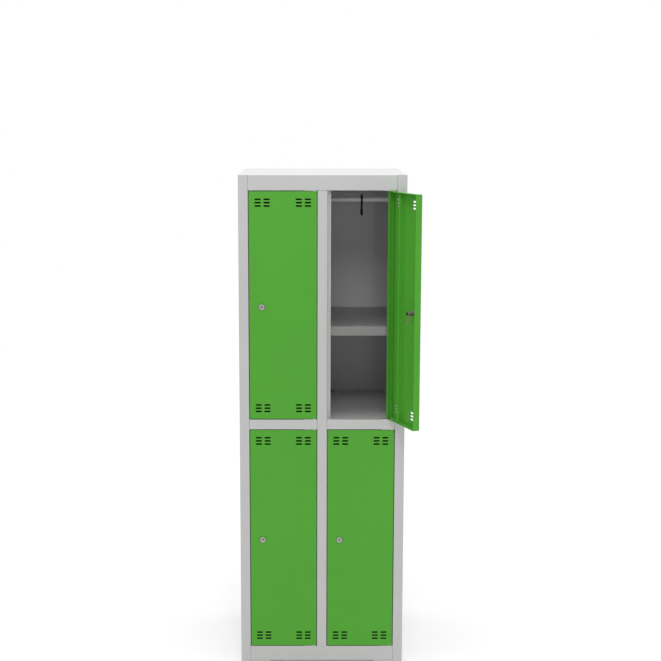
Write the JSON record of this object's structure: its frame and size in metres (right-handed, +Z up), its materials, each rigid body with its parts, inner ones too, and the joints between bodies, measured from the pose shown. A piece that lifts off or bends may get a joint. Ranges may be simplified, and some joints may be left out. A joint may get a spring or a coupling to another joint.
{
  "type": "school locker",
  "caption": "Tall steel locker with stacked compartments side by side, flush hinged doors with vent slots and cam locks, and a shelf, rail and coat hook inside each.",
  "frame": {"origin": "on the floor, under the centre of the box round the whole locker with its upper right door open at 109.8 degrees; the body's own plan centre is 19 mm towards -X and 109 mm towards +Y", "axes": "+Z up, -Y towards the person at the doors, +X to that person's right"},
  "size_m": [0.6371, 0.8182, 1.82],
  "materials": {
    "body_paint": "satin light grey powder coat",
    "door_paint": "satin green powder coat",
    "shelf_paint": "satin mid grey powder coat",
    "lock_metal": "bright nickel plate",
    "cam_brass": "dull brass",
    "pin_steel": "zinc plate",
    "rail_steel": "satin grey tube",
    "hook_plastic": "black, moulded"
  },
  "bodies": {
    "body": {"back_panel": "body_paint", "base_floor": "body_paint", "divider_post": "body_paint", "divider_wall": "body_paint", "front_left_foot": "body_paint", "front_right_foot": "body_paint", "left_middle_floor": "body_paint", "left_side_panel": "body_paint", "lower_left_bottom_hinge_pin": "pin_steel", "lower_left_hanging_rail": "rail_steel", "lower_left_shelf": "shelf_paint", "lower_left_top_hinge_pin": "pin_steel", "lower_right_bottom_hinge_pin": "pin_steel", "lower_right_hanging_rail": "rail_steel", "lower_right_shelf": "shelf_paint", "lower_right_top_hinge_pin": "pin_steel", "rear_left_foot": "body_paint", "rear_right_foot": "body_paint", "right_middle_floor": "body_paint", "right_side_panel": "body_paint", "top_panel": "body_paint", "upper_left_bottom_hinge_pin": "pin_steel", "upper_left_hanging_rail": "rail_steel", "upper_left_shelf": "shelf_paint", "upper_left_top_hinge_pin": "pin_steel", "upper_right_bottom_hinge_pin": "pin_steel", "upper_right_hanging_rail": "rail_steel", "upper_right_shelf": "shelf_paint", "upper_right_top_hinge_pin": "pin_steel"},
    "upper_left_door": {"upper_left_door_panel": "door_paint", "upper_left_door_stiffener": "door_paint", "upper_left_lock_body": "lock_metal", "upper_left_lock_nut": "lock_metal"},
    "upper_left_lock": {"upper_left_lock_plug": "lock_metal", "upper_left_lock_cam": "cam_brass"},
    "upper_left_hook": {"upper_left_coat_hook": "hook_plastic"},
    "upper_right_door": {"upper_right_door_panel": "door_paint", "upper_right_door_stiffener": "door_paint", "upper_right_lock_body": "lock_metal", "upper_right_lock_nut": "lock_metal"},
    "upper_right_lock": {"upper_right_lock_plug": "lock_metal", "upper_right_lock_cam": "cam_brass"},
    "upper_right_hook": {"upper_right_coat_hook": "hook_plastic"},
    "lower_left_door": {"lower_left_door_panel": "door_paint", "lower_left_door_stiffener": "door_paint", "lower_left_lock_body": "lock_metal", "lower_left_lock_nut": "lock_metal"},
    "lower_left_lock": {"lower_left_lock_plug": "lock_metal", "lower_left_lock_cam": "cam_brass"},
    "lower_left_hook": {"lower_left_coat_hook": "hook_plastic"},
    "lower_right_door": {"lower_right_door_panel": "door_paint", "lower_right_door_stiffener": "door_paint", "lower_right_lock_body": "lock_metal", "lower_right_lock_nut": "lock_metal"},
    "lower_right_lock": {"lower_right_lock_plug": "lock_metal", "lower_right_lock_cam": "cam_brass"},
    "lower_right_hook": {"lower_right_coat_hook": "hook_plastic"}
  },
  "joints": [
    {"name": "upper_left_door_hinge", "type": "hinge", "parent": "body", "child": "upper_left_door", "pos_m": [-0.04856, -0.18441, 0.94075], "axis": [0, 0, 1], "range_deg": [0, 109.8]},
    {"name": "upper_right_door_hinge", "type": "hinge", "parent": "body", "child": "upper_right_door", "pos_m": [0.23394, -0.18441, 0.94075], "axis": [0, 0, 1], "range_deg": [-109.8, 0]},
    {"name": "lower_left_door_hinge", "type": "hinge", "parent": "body", "child": "lower_left_door", "pos_m": [-0.04856, -0.18441, 0.07725], "axis": [0, 0, 1], "range_deg": [0, 109.8]},
    {"name": "lower_right_door_hinge", "type": "hinge", "parent": "body", "child": "lower_right_door", "pos_m": [0.23394, -0.18441, 0.07725], "axis": [0, 0, 1], "range_deg": [0, 109.8]},
    {"name": "upper_left_lock_turn", "type": "hinge", "parent": "upper_left_door", "child": "upper_left_lock", "pos_m": [-0.23656, -0.19091, 1.3495], "axis": [0, 1, 0], "range_deg": [0, 90]},
    {"name": "upper_right_lock_turn", "type": "hinge", "parent": "upper_right_door", "child": "upper_right_lock", "pos_m": [0.30374, -0.35909, 1.3495], "axis": [-0.9409, -0.3387, 0], "range_deg": [0, 90]},
    {"name": "lower_left_lock_turn", "type": "hinge", "parent": "lower_left_door", "child": "lower_left_lock", "pos_m": [-0.23656, -0.19091, 0.486], "axis": [0, 1, 0], "range_deg": [0, 90]},
    {"name": "lower_right_lock_turn", "type": "hinge", "parent": "lower_right_door", "child": "lower_right_lock", "pos_m": [0.04594, -0.19091, 0.486], "axis": [0, 1, 0], "range_deg": [0, 90]},
    {"name": "upper_left_hook_slide", "type": "slide", "parent": "body", "child": "upper_left_hook", "axis": [1, 0, 0], "range_m": [-0.14, 0.14]},
    {"name": "upper_right_hook_slide", "type": "slide", "parent": "body", "child": "upper_right_hook", "axis": [1, 0, 0], "range_m": [-0.14, 0.14]},
    {"name": "lower_left_hook_slide", "type": "slide", "parent": "body", "child": "lower_left_hook", "axis": [1, 0, 0], "range_m": [-0.14, 0.14]},
    {"name": "lower_right_hook_slide", "type": "slide", "parent": "body", "child": "lower_right_hook", "axis": [1, 0, 0], "range_m": [-0.14, 0.14]}
  ]
}
